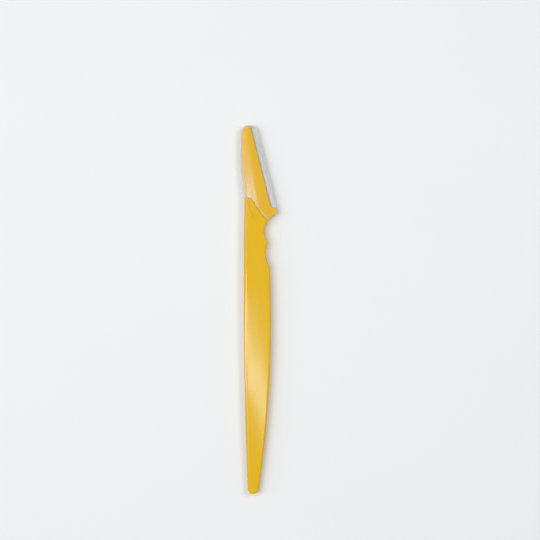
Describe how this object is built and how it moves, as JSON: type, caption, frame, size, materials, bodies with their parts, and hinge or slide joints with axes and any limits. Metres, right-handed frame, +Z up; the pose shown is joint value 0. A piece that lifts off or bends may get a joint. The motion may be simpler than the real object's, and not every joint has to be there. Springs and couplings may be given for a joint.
{
  "type": "eyebrow razor",
  "caption": "Slim flat eyebrow razor with finger rests along its handle, a steel blade behind a comb guard, and a clear cap that pulls off past the tip.",
  "frame": {"origin": "middle of the razor's length and width, on the surface that it lies on", "axes": "+Y along the razor from its tail to its tip, +X to the side of the cutting edge, +Z up through its thickness"},
  "size_m": [0.0152, 0.156, 0.0044],
  "materials": {
    "handle_plastic": "moulded, satin gloss",
    "blade_steel": "rolled strip with a ground edge",
    "guard_steel": "thin bright sheet",
    "clear_cap": "clear, slightly hazy"
  },
  "bodies": {
    "razor": {"handle": "handle_plastic", "blade": "blade_steel", "comb_guard": "guard_steel"},
    "cover": {"cap": "clear_cap"}
  },
  "joints": [
    {"name": "cap_slide", "type": "slide", "parent": "razor", "child": "cover", "axis": [-0.1132, 0.9936, 0], "range_m": [0, 0.045]}
  ]
}
